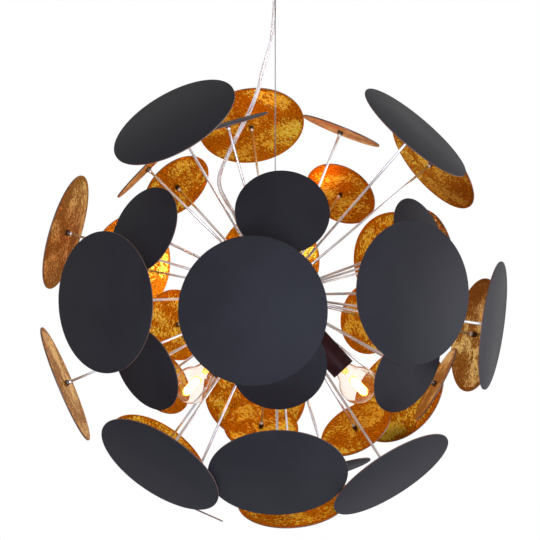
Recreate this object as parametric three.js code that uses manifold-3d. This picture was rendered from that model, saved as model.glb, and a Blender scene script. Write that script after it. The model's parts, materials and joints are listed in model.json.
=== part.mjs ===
// Pendant ceiling lamp: flat round discs on stems round a ball hub, with four golf-ball bulbs between them.
// Millimetres, +Z up. The origin is the middle of the bracket's top face, which lies against the ceiling.
// Azimuth 0 faces the front (-Y) and grows towards +X. Elevation grows upwards from the hub's middle.

import * as THREE from 'three';
import { mergeVertices } from 'three/addons/utils/BufferGeometryUtils.js';
import Module from 'manifold-3d';

const wasm = await Module();
wasm.setup();

// Driving dimensions

const HUB_DROP = 420;            // ceiling to the hub's middle
const HUB_RADIUS = 36;
const HUB_FLAT_DEPTH = 3;        // of the flats that the hanger and the plug stand on
const CLEARANCE = 0.3;           // between pieces that seat in or on each other
const RUNNING_CLEARANCE = 0.4;   // between pieces that turn or slide on each other

// Discs
const LARGE_RADIUS = 72.5;
const LARGE_REACH = 266;         // hub's middle to the inner face of most large discs
const LARGE_SIDES = 26;
const SMALL_RADIUS = 49.5;
const SMALL_REACH = 218;
const SMALL_SIDES = 18;
const PLATE_THICKNESS = 1.5;
const STEM_RADIUS = 1.5;
const STEM_DEPTH = 8;            // of the stem in the hub
const STEM_SIDES = 6;
const NUT_RADIUS = 3.5;
const NUT_LENGTH = 6;
const NUT_BITE = 0.5;            // how far the nut reaches into the plate, and the stem into the nut

// Lampholders
const NIPPLE_RADIUS = 5;         // tube between the hub and a sleeve
const NIPPLE_DEPTH = 6;          // of the nipple in the hub
const NIPPLE_LENGTH = 24;        // of the nipple between the hub and the sleeve
const SLEEVE_RADIUS = 15;
const SLEEVE_WALL = 1.2;
const SLEEVE_LENGTH = 62;
const SOCKET_WALL = 2.7;
const SOCKET_RISE = 31.7;        // of the socket's floor over the sleeve's closed end
const SOCKET_COVER = 12;         // how much of the cap the socket takes

// Bulbs
const BULB_LENGTH = 78;
const CONTACT_RADIUS = 3;
const CONTACT_LENGTH = 3;
const CAP_RADIUS = 6.8;
const CAP_LENGTH = 20;
const NECK_RADIUS = 10.5;
const NECK_LENGTH = 8;           // of the glass between its cap and its widest neck
const GLOBE_RADIUS = 22.5;
const GLOBE_START = -50;         // where the neck's flare meets the globe, in degrees
const GLASS_WALL = 1;
const CAPSULE_RADIUS = 5;
const CAPSULE_LENGTH = 24;
const CAPSULE_HEADROOM = 10;     // from the capsule's tip to the globe's
const CAPSULE_STEM_RADIUS = 1.6;
const GLASS_FOOT_RADIUS = 4;     // where the capsule's stem spreads into the neck's floor
const PUMP_HOLE_RADIUS = 0.6;    // in the cap, beside the foot

// Wire and hanger
const WIRE_RADIUS = 0.6;
const STOP_RADIUS = 2.8;         // ball pressed on the wire's lower end
const STOP_RISE = 14;            // of its middle over the hub's flat
const HANGER_RADIUS = 5.5;
const HANGER_LENGTH = 23;        // over the hub's flat
const HANGER_CHAMFER = 2;
const HANGER_FLANGE_RADIUS = 9;
const HANGER_FLANGE_HEIGHT = 4;
const HANGER_FILLET = 1;
const HANGER_STUD_RADIUS = 4;
const HANGER_STUD_DEPTH = 9;

// Plug under the hub
const PLUG_RADIUS = 7;
const PLUG_HEAD = 2.5;
const PLUG_CHAMFER = 1;
const PLUG_STUD_RADIUS = 4.5;
const PLUG_STUD_DEPTH = 7;

// Flex and gland
const FLEX_RADIUS = 2.5;
const FLEX_SIDES = 8;
const FLEX_STEPS = 44;
const GLAND_AZIMUTH = -115;
const GLAND_ELEVATION = 58;
const GLAND_RADIUS = 6.2;
const GLAND_SHOULDER = 5;        // height of its straight foot
const GLAND_MOUTH_RADIUS = 3.7;
const GLAND_LENGTH = 26;
const GLAND_STUD_RADIUS = 4;
const GLAND_STUD_DEPTH = 6;
const GLAND_BORE_DEPTH = 12;

// Swivel
const BALL_RADIUS = 13;
const BALL_FLAT = 8;             // its flat underside, below its middle
const GRIPPER_RADIUS = 5;
const GRIPPER_HEIGHT = 22;       // top of the wire gripper, above the ball's middle
const GRIPPER_CHAMFER = 1;
const WIRE_GRIP = 14;            // length of wire that the ball and gripper hold
const CORD_OFFSET = 6.6;         // from the wire to the flex in the ball
const CORD_GRIP = 7;             // length of flex that the ball holds
const RING_WALL = 3;             // round the ball, where the ring passes through the boss
const RING_RISE = 3;             // of its top over the ball's middle
const RING_FLANGE = 4;           // height of its flange
const RING_HEIGHT = 9;

// Ceiling bracket and terminal block
const BRACKET_RADIUS = 50;
const BRACKET_THICKNESS = 2.5;
const BOSS_RADIUS = 23;
const BOSS_BORE = 19.5;
const BOSS_LIP = 4;              // height of the lip that the ring's flange rests on
const BOSS_RECESS = 0.7;         // of the boss in the canopy's bottom hole
const SLOT_LENGTH = 12;
const SLOT_RADIUS = 2.5;
const SLOT_OFFSET = 36;          // from the middle to each ceiling screw
const CABLE_HOLE_RADIUS = 6;
const CABLE_HOLE_OFFSET = 36;
const WINDOW_WIDTH = 16;         // way through the boss for the flex's cores
const WINDOW_HEIGHT = 14;
const WINDOW_DROP = 1;           // from the plate to the window
const BLOCK_GAP = 4;             // between the boss and the terminal block
const BLOCK_DEPTH = 17;
const BLOCK_HEIGHT = 9;
const POLE_COUNT = 3;
const POLE_PITCH = 11;
const POLE_BORE = 2;
const TOWER_RADIUS = 4;
const TOWER_HEIGHT = 5;

// Canopy
const CANOPY_RADIUS = 60;
const CANOPY_DEPTH = 36;
const CANOPY_WALL = 1.4;
const CANOPY_FILLET = 7;
const CANOPY_GAP = 0.6;          // between its rim and the ceiling

// Places of the discs: azimuth and elevation in degrees, and what the place adds to its kind's reach.
const LARGE_PLACES = [
  // above the hub
  [-169, 53.5, 14], [-36, 45.5, -1], [56.3, 44.4, -4], [105, 38.8, -3], [-94.2, 16.5, 2],
  // level with it, clockwise from the left
  [-40.5, -0.6, 4], [-5, -2, 0], [32, 1.6, -5], [68.3, -7, -2], [102, -11.3, -3],
  [140, 8.4, 2], [-178.4, 9.6, -12], [-132, 7.3, 2],
  // below it
  [-83.8, -22.7, 5], [-38.3, -41.6, 1.5], [0.5, -43.3, -3], [43.8, -46.7, -1], [133, -31, 0],
  [-173.4, -32, 10], [-121, -50, 6], [164, -72, 11],
];
const SMALL_PLACES = [
  // above the hub
  [-55, 71.1, -5.5], [82.5, 68, -6], [-83.6, 44.5, -2], [146, 40, -15], [-131.5, 39, 3],
  [2, 26, -12], [-42.3, 19, 3], [51.3, 16.9, -7], [114.6, 15.4, 11],
  // between the level discs and the lower ones
  [139, -9.9, -19], [-143.3, -11.5, 10], [0.8, -19, -9], [-44, -20.5, -3], [41.9, -20, 5],
  [87, -29, 2], [-127.5, -31.2, 4],
  // below it
  [132.7, -51, 8], [-171, -56.6, -7], [-59.7, -62.9, 51], [42.2, -65.5, 3],
];

// Lampholders: azimuth and elevation in degrees.
const LAMPHOLDER_PLACES = {
  lower_left: [-82, -47.2],
  lower_right: [82, -47.2],
  upper_front: [5, 46],
  upper_back: [172, 36],
};

// The flex's bow to the left and back, between the swivel and the gland: points from the hub's middle.
const FLEX_BOW = [
  [-1.4, 4.2, 345], [-2.2, 4.3, 328], [-4.6, 4.9, 311], [-8.6, 6.6, 297], [-12.1, 8.9, 285],
  [-15.8, 11.2, 272], [-20.9, 13.8, 252], [-29.7, 17.2, 229], [-43.2, 22, 203], [-55.3, 26, 179],
  [-66.2, 29, 156], [-69.5, 30, 142], [-67.8, 29, 130], [-60.4, 26, 115], [-49.8, 21.5, 97],
];

// Materials

const blackPaint = new THREE.MeshStandardMaterial({ color: 0x26262b, roughness: 0.55, metalness: 0.3 });
const brownEnamel = new THREE.MeshStandardMaterial({ color: 0x2a1512, roughness: 0.5, metalness: 0.2 });
const polishedSteel = new THREE.MeshStandardMaterial({ color: 0xc9c9cc, roughness: 0.2, metalness: 1 });
const brushedSteel = new THREE.MeshStandardMaterial({ color: 0xa8a8ac, roughness: 0.4, metalness: 1 });
const brass = new THREE.MeshStandardMaterial({ color: 0xb08a46, roughness: 0.35, metalness: 1 });
const clearGlass = new THREE.MeshStandardMaterial({ color: 0xf3e9dc, roughness: 0.05, metalness: 0 });
const clearVinyl = new THREE.MeshStandardMaterial({ color: 0xe0d5c8, roughness: 0.3, metalness: 0 });
const paleNylon = new THREE.MeshStandardMaterial({ color: 0xe8e4da, roughness: 0.6, metalness: 0 });

// Solids and meshes

// Makes a geometry a solid that can be joined and cut. Faces that shrink to a line on the axis are left out.
function solid(geometry) {
  const bare = geometry.clone();
  bare.deleteAttribute('normal');
  bare.deleteAttribute('uv');
  const merged = mergeVertices(bare, 1e-4);
  const corners = merged.index.array;
  const faces = [];
  for (let i = 0; i < corners.length; i += 3) {
    const face = corners.slice(i, i + 3);
    if (new Set(face).size === 3) {
      faces.push(...face);
    }
  }
  return new wasm.Manifold(new wasm.Mesh({
    numProp: 3,
    vertProperties: new Float32Array(merged.attributes.position.array),
    triVerts: new Uint32Array(faces),
  }));
}

function fromSolid(manifold) {
  const mesh = manifold.getMesh();
  const geometry = new THREE.BufferGeometry();
  geometry.setAttribute('position', new THREE.BufferAttribute(new Float32Array(mesh.vertProperties), 3));
  geometry.setIndex(new THREE.BufferAttribute(new Uint32Array(mesh.triVerts), 1));
  geometry.computeVertexNormals();
  return geometry;
}

// A round bar along +Z between two heights.
function bar(radius, from, to, sides) {
  const geometry = new THREE.CylinderGeometry(radius, radius, to - from, sides);
  return geometry.rotateX(Math.PI / 2).translate(0, 0, (from + to) / 2);
}

// Revolves a profile of [radius, height] points round +Z. It runs anticlockwise, from axis to axis or as a
// loop.
function turned(profile, sides) {
  const points = profile.map(([radius, height]) => new THREE.Vector2(radius, height));
  return new THREE.LatheGeometry(points, sides).rotateX(Math.PI / 2);
}

// Points of an arc in a profile, from one angle to another, in degrees from the radius axis.
function arc(centreRadius, centreHeight, radius, from, to, steps) {
  const points = [];
  for (let i = 0; i <= steps; i += 1) {
    const angle = THREE.MathUtils.degToRad(from + (to - from) * i / steps);
    points.push([centreRadius + radius * Math.cos(angle), centreHeight + radius * Math.sin(angle)]);
  }
  return points;
}

function direction(azimuth, elevation) {
  const a = THREE.MathUtils.degToRad(azimuth);
  const e = THREE.MathUtils.degToRad(elevation);
  return new THREE.Vector3(Math.cos(e) * Math.sin(a), -Math.cos(e) * Math.cos(a), Math.sin(e));
}

// Turns +Z to a place's direction.
function aim(azimuth, elevation) {
  return new THREE.Quaternion().setFromUnitVectors(new THREE.Vector3(0, 0, 1), direction(azimuth, elevation));
}

function named(name, geometry, material) {
  const mesh = new THREE.Mesh(geometry, material);
  mesh.name = name;
  return mesh;
}

const lamp = new THREE.Group();
const hubGroup = new THREE.Group();
hubGroup.position.z = -HUB_DROP;
lamp.add(hubGroup);

// Discs
// Each is a sheet plate on a stem, with the nut that holds the two together on the inner face.
// The stem's other end stands in a hole of the hub.

function discOnStem(radius, reach, sides) {
  const plate = solid(bar(radius, reach, reach + PLATE_THICKNESS, sides));
  const nut = solid(bar(NUT_RADIUS, reach - NUT_LENGTH, reach + NUT_BITE, 6));
  const stemStart = HUB_RADIUS - STEM_DEPTH + CLEARANCE;
  const stem = solid(bar(STEM_RADIUS, stemStart, reach - NUT_LENGTH + NUT_BITE, STEM_SIDES));
  return fromSolid(plate.add(nut).add(stem));
}

function addDiscs(kind, radius, reach, sides, places) {
  places.forEach(([azimuth, elevation, extra], index) => {
    const number = String(index + 1).padStart(2, '0');
    const disc = named(`${kind}_disc_${number}`, discOnStem(radius, reach + extra, sides), blackPaint);
    disc.quaternion.copy(aim(azimuth, elevation));
    hubGroup.add(disc);
  });
}
addDiscs('large', LARGE_RADIUS, LARGE_REACH, LARGE_SIDES, LARGE_PLACES);
addDiscs('small', SMALL_RADIUS, SMALL_REACH, SMALL_SIDES, SMALL_PLACES);

// Lampholders
// A sleeve on a tube nipple, with the socket inside it.

const sleeveStart = HUB_RADIUS + NIPPLE_LENGTH;
const sleeveFloor = sleeveStart + 2 * SLEEVE_WALL;
const sleeveBore = SLEEVE_RADIUS - SLEEVE_WALL;
const socketFloor = sleeveStart + SOCKET_RISE;
const socketBore = CAP_RADIUS + 2 * CLEARANCE;
const socketRadius = socketBore + SOCKET_WALL;
const bulbBase = socketFloor + CLEARANCE;
const capStart = bulbBase + CONTACT_LENGTH;
const capEnd = capStart + CAP_LENGTH;

function lampholderProfile() {
  const nippleStart = HUB_RADIUS - NIPPLE_DEPTH + CLEARANCE;
  const socketMouth = capStart + SOCKET_COVER;
  return [
    [0, nippleStart], [NIPPLE_RADIUS, nippleStart], [NIPPLE_RADIUS, sleeveStart],
    [SLEEVE_RADIUS, sleeveStart], [SLEEVE_RADIUS, sleeveStart + SLEEVE_LENGTH],
    [sleeveBore, sleeveStart + SLEEVE_LENGTH], [sleeveBore, sleeveFloor],
    [socketRadius, sleeveFloor], [socketRadius, socketMouth],
    [socketBore, socketMouth], [socketBore, socketFloor], [0, socketFloor],
  ];
}

// Bulbs
// A hollow globe on a screw cap, with a small capsule on a stem inside. The cap stands in the socket.

const bulbTip = bulbBase + BULB_LENGTH;
const globeMiddle = bulbTip - GLOBE_RADIUS;
const neckMiddle = [(CAP_RADIUS + 1.1 * NECK_RADIUS) / 2, capEnd + NECK_LENGTH / 2];

function bulbOutline() {
  return [
    [0, bulbBase], [CONTACT_RADIUS, bulbBase], [CAP_RADIUS, capStart], [CAP_RADIUS, capEnd],
    neckMiddle, [NECK_RADIUS, capEnd + NECK_LENGTH],
    ...arc(0, globeMiddle, GLOBE_RADIUS, GLOBE_START, 90, 5).slice(0, -1), [0, bulbTip],
  ];
}

function bulbHollow() {
  const capsuleTip = bulbTip - CAPSULE_HEADROOM;
  const capsuleStart = capsuleTip - CAPSULE_LENGTH;
  return [
    [0, capsuleTip], ...arc(0, capsuleTip - CAPSULE_RADIUS, CAPSULE_RADIUS, 90, 0, 2).slice(1),
    [CAPSULE_RADIUS, capsuleStart], [CAPSULE_STEM_RADIUS, capsuleStart],
    [CAPSULE_STEM_RADIUS, capEnd + NECK_LENGTH], [GLASS_FOOT_RADIUS, capEnd],
    [CAP_RADIUS - GLASS_WALL / 2, capEnd], [neckMiddle[0] - GLASS_WALL, neckMiddle[1]],
    [NECK_RADIUS - GLASS_WALL, capEnd + NECK_LENGTH],
    ...arc(0, globeMiddle, GLOBE_RADIUS - GLASS_WALL, GLOBE_START, 90, 5).slice(0, -1),
    [0, bulbTip - GLASS_WALL],
  ];
}

function hollowBulb() {
  const pumpHole = bar(PUMP_HOLE_RADIUS, bulbBase, capEnd + GLASS_WALL, 4);
  pumpHole.translate((GLASS_FOOT_RADIUS + CAP_RADIUS) / 2, 0, 0);
  const glass = solid(turned(bulbOutline(), 14)).subtract(solid(turned(bulbHollow(), 12)));
  return fromSolid(glass.subtract(solid(pumpHole)));
}

for (const [place, [azimuth, elevation]] of Object.entries(LAMPHOLDER_PLACES)) {
  const lampholder = named(`lampholder_${place}`, turned(lampholderProfile(), 14), brownEnamel);
  const bulb = named(`bulb_${place}`, hollowBulb(), clearGlass);
  for (const piece of [lampholder, bulb]) {
    piece.quaternion.copy(aim(azimuth, elevation));
    hubGroup.add(piece);
  }
}

// Hub
// A turned ball with a hole for each stem, each lampholder's nipple, the gland, the hanger and the plug.

const hubFlat = HUB_RADIUS - HUB_FLAT_DEPTH;

function holeAt(azimuth, elevation, radius, depth, sides) {
  const hole = bar(radius + CLEARANCE, HUB_RADIUS - depth, HUB_RADIUS + 1, sides);
  return solid(hole.applyQuaternion(aim(azimuth, elevation)));
}

function hubBall() {
  let ball = solid(new THREE.SphereGeometry(HUB_RADIUS, 16, 10).rotateX(Math.PI / 2));
  const overFlat = bar(HUB_RADIUS, hubFlat, HUB_RADIUS + 1, 32);
  const hangerHole = bar(HANGER_STUD_RADIUS + CLEARANCE, hubFlat - HANGER_STUD_DEPTH, HUB_RADIUS + 1, 12);
  const underFlat = bar(HUB_RADIUS, -HUB_RADIUS - 1, -hubFlat, 32);
  const plugHole = bar(PLUG_STUD_RADIUS + CLEARANCE, -HUB_RADIUS - 1, -hubFlat + PLUG_STUD_DEPTH, 12);
  for (const cut of [overFlat, hangerHole, underFlat, plugHole]) {
    ball = ball.subtract(solid(cut));
  }
  for (const [azimuth, elevation] of [...LARGE_PLACES, ...SMALL_PLACES]) {
    ball = ball.subtract(holeAt(azimuth, elevation, STEM_RADIUS, STEM_DEPTH, STEM_SIDES));
  }
  for (const [azimuth, elevation] of Object.values(LAMPHOLDER_PLACES)) {
    ball = ball.subtract(holeAt(azimuth, elevation, NIPPLE_RADIUS, NIPPLE_DEPTH, 16));
  }
  return ball.subtract(holeAt(GLAND_AZIMUTH, GLAND_ELEVATION, GLAND_STUD_RADIUS, GLAND_STUD_DEPTH, 12));
}
hubGroup.add(named('hub_ball', fromSolid(hubBall()), brushedSteel));

// Plug: closes the hole that the hub is wired through.
const plugSeat = -hubFlat - CLEARANCE;
const plugTop = -hubFlat + PLUG_STUD_DEPTH - CLEARANCE;
const plugProfile = [
  [0, plugSeat - PLUG_HEAD], [PLUG_RADIUS - PLUG_CHAMFER, plugSeat - PLUG_HEAD],
  [PLUG_RADIUS, plugSeat - PLUG_HEAD + PLUG_CHAMFER], [PLUG_RADIUS, plugSeat],
  [PLUG_STUD_RADIUS, plugSeat], [PLUG_STUD_RADIUS, plugTop], [0, plugTop],
];
hubGroup.add(named('hub_plug', turned(plugProfile, 12), brushedSteel));

// Hanger: the wire's end stop hangs in its pocket.
const hangerSeat = hubFlat + CLEARANCE;
const hangerBase = hubFlat - HANGER_STUD_DEPTH + CLEARANCE;
const hangerTop = hubFlat + HANGER_LENGTH;
const flangeTop = hubFlat + HANGER_FLANGE_HEIGHT;
const stopMiddle = hubFlat + STOP_RISE;
const pocketRadius = STOP_RADIUS + CLEARANCE;
const wireBore = WIRE_RADIUS + CLEARANCE;
const hangerProfile = [
  [0, hangerBase], [HANGER_STUD_RADIUS, hangerBase], [HANGER_STUD_RADIUS, hangerSeat],
  [HANGER_FLANGE_RADIUS, hangerSeat], [HANGER_FLANGE_RADIUS, flangeTop],
  [HANGER_RADIUS, flangeTop + HANGER_FILLET], [HANGER_RADIUS, hangerTop - HANGER_CHAMFER],
  [HANGER_RADIUS - HANGER_CHAMFER, hangerTop], [wireBore, hangerTop],
  [wireBore, stopMiddle + pocketRadius], [pocketRadius, stopMiddle + wireBore],
  [pocketRadius, stopMiddle - pocketRadius], [0, stopMiddle - pocketRadius],
];
hubGroup.add(named('hub_hanger', turned(hangerProfile, 16), brushedSteel));

// Gland: a tapered strain relief that the flex goes into.
const glandBase = HUB_RADIUS + CLEARANCE;
const glandMouth = glandBase + GLAND_LENGTH;
const glandFloor = glandMouth - GLAND_BORE_DEPTH;
const glandStud = HUB_RADIUS - GLAND_STUD_DEPTH + CLEARANCE;
const cordBore = FLEX_RADIUS + CLEARANCE;
const glandProfile = [
  [0, glandStud], [GLAND_STUD_RADIUS, glandStud], [GLAND_STUD_RADIUS, glandBase],
  [GLAND_RADIUS, glandBase], [GLAND_RADIUS, glandBase + GLAND_SHOULDER],
  [GLAND_MOUTH_RADIUS, glandMouth], [cordBore, glandMouth], [cordBore, glandFloor], [0, glandFloor],
];
const gland = named('flex_gland', turned(glandProfile, 12), paleNylon);
gland.quaternion.copy(aim(GLAND_AZIMUTH, GLAND_ELEVATION));
hubGroup.add(gland);

// Swivel
// The ball grips the wire and the flex. It sways in the ring, and the ring turns in the bracket's boss.
// The ring's flange rests on the boss's lip, at the canopy's bottom.

const bossBase = -CANOPY_DEPTH + BOSS_RECESS;
const lipTop = bossBase + BOSS_LIP;
const swivelHeight = lipTop + CLEARANCE + RING_FLANGE - RING_RISE;
const swivel = new THREE.Group();
swivel.position.z = swivelHeight;
lamp.add(swivel);

const ballFlatAngle = THREE.MathUtils.radToDeg(Math.asin(-BALL_FLAT / BALL_RADIUS));
const gripperAngle = THREE.MathUtils.radToDeg(Math.acos(GRIPPER_RADIUS / BALL_RADIUS));
const ballProfile = [
  [0, -BALL_FLAT], ...arc(0, 0, BALL_RADIUS, ballFlatAngle, gripperAngle, 8),
  [GRIPPER_RADIUS, GRIPPER_HEIGHT - GRIPPER_CHAMFER], [GRIPPER_RADIUS - GRIPPER_CHAMFER, GRIPPER_HEIGHT],
  [0, GRIPPER_HEIGHT],
];
const wireHole = bar(wireBore, -BALL_FLAT - 1, -BALL_FLAT + WIRE_GRIP, 8);
const cordHole = bar(cordBore, -BALL_FLAT - 1, -BALL_FLAT + CORD_GRIP, 12).translate(0, CORD_OFFSET, 0);
const ballSolid = solid(turned(ballProfile, 20)).subtract(solid(wireHole)).subtract(solid(cordHole));
swivel.add(named('swivel_ball', fromSolid(ballSolid), brass));

const seatRadius = BALL_RADIUS + RUNNING_CLEARANCE;
const ringRadius = seatRadius + RING_WALL;
const ringFlangeRadius = BOSS_BORE - RUNNING_CLEARANCE;
const ringBase = RING_RISE - RING_HEIGHT;
const seatTopAngle = THREE.MathUtils.radToDeg(Math.asin(RING_RISE / seatRadius));
const seatBaseAngle = THREE.MathUtils.radToDeg(Math.asin(ringBase / seatRadius));
const ringProfile = [
  ...arc(0, 0, seatRadius, seatTopAngle, seatBaseAngle, 5), [ringRadius, ringBase],
  [ringRadius, RING_RISE - RING_FLANGE], [ringFlangeRadius, RING_RISE - RING_FLANGE],
  [ringFlangeRadius, RING_RISE],
];
ringProfile.push(ringProfile[0]);
swivel.add(named('swivel_ring', turned(ringProfile, 24), brushedSteel));

// Suspension wire: from the gripper down to the stop in the hanger's pocket.
const ballUnderside = HUB_DROP + swivelHeight - BALL_FLAT;
const wireTop = ballUnderside + WIRE_GRIP - CLEARANCE;
const stopTopAngle = THREE.MathUtils.radToDeg(Math.acos(WIRE_RADIUS / STOP_RADIUS));
const wireProfile = [
  [0, stopMiddle - STOP_RADIUS], ...arc(0, stopMiddle, STOP_RADIUS, -90, stopTopAngle, 6).slice(1),
  [WIRE_RADIUS, wireTop], [0, wireTop],
];
hubGroup.add(named('suspension_wire', turned(wireProfile, 8), polishedSteel));

// Flex: leaves the ball straight down and enters the gland straight along it.
const glandWay = direction(GLAND_AZIMUTH, GLAND_ELEVATION);
const flexRoute = new THREE.CatmullRomCurve3([
  new THREE.Vector3(0, CORD_OFFSET, ballUnderside + CORD_GRIP - CLEARANCE),
  new THREE.Vector3(0, CORD_OFFSET, ballUnderside - FLEX_RADIUS),
  ...FLEX_BOW.map(([x, y, z]) => new THREE.Vector3(x, y, z)),
  glandWay.clone().multiplyScalar(glandMouth + 2 * FLEX_RADIUS),
  glandWay.clone().multiplyScalar(glandFloor + CLEARANCE),
]);

function cordSection(radius, sides) {
  const section = new THREE.Shape();
  for (let i = 0; i < sides; i += 1) {
    const angle = 2 * Math.PI * i / sides;
    const corner = [radius * Math.cos(angle), radius * Math.sin(angle)];
    if (i === 0) {
      section.moveTo(...corner);
    } else {
      section.lineTo(...corner);
    }
  }
  section.closePath();
  return section;
}
const flexGeometry = new THREE.ExtrudeGeometry(cordSection(FLEX_RADIUS, FLEX_SIDES), {
  steps: FLEX_STEPS, extrudePath: flexRoute, bevelEnabled: false,
});
hubGroup.add(named('flex', flexGeometry, clearVinyl));

// Ceiling bracket
// A round plate with a boss that holds the swivel ring, slots for the ceiling screws and a cable hole.

const lipBore = ringRadius + RUNNING_CLEARANCE;
const bossProfile = [
  [0, -BRACKET_THICKNESS], [BOSS_BORE, -BRACKET_THICKNESS], [BOSS_BORE, lipTop],
  [lipBore, lipTop], [lipBore, bossBase], [BOSS_RADIUS, bossBase], [BOSS_RADIUS, -BRACKET_THICKNESS],
  [BRACKET_RADIUS, -BRACKET_THICKNESS], [BRACKET_RADIUS, 0], [0, 0],
];

function screwSlot(side) {
  const outline = new THREE.Shape();
  const half = SLOT_LENGTH / 2 - SLOT_RADIUS;
  outline.absarc(half, 0, SLOT_RADIUS, -Math.PI / 2, Math.PI / 2);
  outline.absarc(-half, 0, SLOT_RADIUS, Math.PI / 2, Math.PI * 3 / 2);
  const slot = new THREE.ExtrudeGeometry(outline, {
    depth: 3 * BRACKET_THICKNESS, bevelEnabled: false, curveSegments: 6,
  });
  return slot.translate(0, side * SLOT_OFFSET, -2 * BRACKET_THICKNESS);
}
const cableHole = bar(CABLE_HOLE_RADIUS, -2 * BRACKET_THICKNESS, BRACKET_THICKNESS, 12);
cableHole.translate(-CABLE_HOLE_OFFSET, 0, 0);
const leadWindow = new THREE.BoxGeometry(BOSS_RADIUS, WINDOW_WIDTH, WINDOW_HEIGHT);
leadWindow.translate(BOSS_RADIUS, 0, -BRACKET_THICKNESS - WINDOW_DROP - WINDOW_HEIGHT / 2);
const bracketSolid = solid(turned(bossProfile, 28))
  .subtract(solid(screwSlot(1))).subtract(solid(screwSlot(-1)))
  .subtract(solid(cableHole)).subtract(solid(leadWindow));
lamp.add(named('ceiling_bracket', fromSolid(bracketSolid), brushedSteel));

// Terminal block: poles side by side, each with two screw towers and a way through for the wires.

function terminalBlock() {
  const top = -BRACKET_THICKNESS - CLEARANCE;
  const middle = BOSS_RADIUS + BLOCK_GAP + BLOCK_DEPTH / 2;
  const towerTop = top - BLOCK_HEIGHT;
  const towerBase = towerTop - TOWER_HEIGHT;
  const body = new THREE.BoxGeometry(BLOCK_DEPTH, POLE_COUNT * POLE_PITCH, BLOCK_HEIGHT);
  let block = solid(body.translate(middle, 0, top - BLOCK_HEIGHT / 2));
  for (let pole = 0; pole < POLE_COUNT; pole += 1) {
    const y = (pole - (POLE_COUNT - 1) / 2) * POLE_PITCH;
    for (const side of [-1, 1]) {
      const x = middle + side * BLOCK_DEPTH / 4;
      const tower = bar(TOWER_RADIUS, towerBase, towerTop + 1, 12).translate(x, y, 0);
      const screwWay = bar(TOWER_RADIUS / 2, towerBase - 1, towerTop, 8).translate(x, y, 0);
      block = block.add(solid(tower)).subtract(solid(screwWay));
    }
    const wireWay = bar(POLE_BORE, -BLOCK_DEPTH, BLOCK_DEPTH, 8).rotateY(Math.PI / 2);
    block = block.subtract(solid(wireWay.translate(middle, y, top - BLOCK_HEIGHT / 2)));
  }
  return block;
}
lamp.add(named('terminal_block', fromSolid(terminalBlock()), paleNylon));

// Canopy: a spun cup that covers the bracket. Its bottom hole slides on the boss.

const canopyHole = BOSS_RADIUS + RUNNING_CLEARANCE;
const filletMiddle = [CANOPY_RADIUS - CANOPY_FILLET, -CANOPY_DEPTH + CANOPY_FILLET];
const canopyProfile = [
  [CANOPY_RADIUS - CANOPY_WALL, -CANOPY_GAP],
  ...arc(...filletMiddle, CANOPY_FILLET - CANOPY_WALL, 0, -90, 3), [canopyHole, -CANOPY_DEPTH + CANOPY_WALL],
  [canopyHole, -CANOPY_DEPTH], ...arc(...filletMiddle, CANOPY_FILLET, -90, 0, 4), [CANOPY_RADIUS, -CANOPY_GAP],
];
canopyProfile.push(canopyProfile[0]);
lamp.add(named('canopy', turned(canopyProfile, 28), blackPaint));

export default lamp;
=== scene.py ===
# A pendant lamp of thin round discs on steel stems, seen from the front at the height of its middle.
# Metres, +Z up. The ceiling is at z = 0 and the hub hangs 0.42 below it.
import json
import math

import bmesh
import bpy
from mathutils import Matrix, Vector

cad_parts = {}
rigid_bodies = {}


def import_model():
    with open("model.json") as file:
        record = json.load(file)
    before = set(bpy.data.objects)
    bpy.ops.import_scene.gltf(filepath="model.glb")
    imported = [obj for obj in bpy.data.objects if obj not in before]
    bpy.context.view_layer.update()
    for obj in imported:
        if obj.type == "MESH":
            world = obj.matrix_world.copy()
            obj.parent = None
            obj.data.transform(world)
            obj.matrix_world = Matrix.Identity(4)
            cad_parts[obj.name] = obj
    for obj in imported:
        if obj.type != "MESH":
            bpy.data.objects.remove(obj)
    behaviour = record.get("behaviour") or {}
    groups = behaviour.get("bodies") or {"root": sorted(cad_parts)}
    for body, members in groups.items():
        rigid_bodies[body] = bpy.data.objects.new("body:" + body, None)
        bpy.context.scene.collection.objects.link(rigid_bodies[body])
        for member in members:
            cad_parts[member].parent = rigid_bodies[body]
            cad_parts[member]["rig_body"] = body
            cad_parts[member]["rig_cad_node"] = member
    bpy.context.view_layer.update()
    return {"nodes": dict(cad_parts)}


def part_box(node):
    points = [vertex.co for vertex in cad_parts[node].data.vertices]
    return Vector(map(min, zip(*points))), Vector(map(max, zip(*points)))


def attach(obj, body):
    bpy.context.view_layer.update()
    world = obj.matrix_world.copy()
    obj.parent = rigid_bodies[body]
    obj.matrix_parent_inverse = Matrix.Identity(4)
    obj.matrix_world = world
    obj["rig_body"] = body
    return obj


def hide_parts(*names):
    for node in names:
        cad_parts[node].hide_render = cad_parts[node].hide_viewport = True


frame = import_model()
bpy.ops.object.select_all(action="DESELECT")


# Camera
# The photograph looks at the lamp level, from 1.3 metres in front of the hub, so that the front discs look
# larger than the back ones. The camera stands a little above the hub's middle and to its left.
CAMERA_BACK = 1.292
CAMERA_ABOVE = 0.030
CAMERA_LEFT = 0.00636
LENS_MM = 71.03
SENSOR_MM = 36
hub_low, hub_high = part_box("hub_ball")
hub_middle = (hub_low + hub_high) / 2


def add(name, data):
    """A new object in the scene."""
    new = bpy.data.objects.new(name, data)
    bpy.context.scene.collection.objects.link(new)
    return new


camera_data = bpy.data.cameras.new("front_camera")
camera_data.sensor_width = SENSOR_MM
camera_data.lens = LENS_MM
camera = add("front_camera", camera_data)
camera.location = hub_middle + Vector((-CAMERA_LEFT, -CAMERA_BACK, CAMERA_ABOVE))
camera.rotation_euler = (math.pi / 2, 0, 0)
bpy.context.scene.camera = camera


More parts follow.
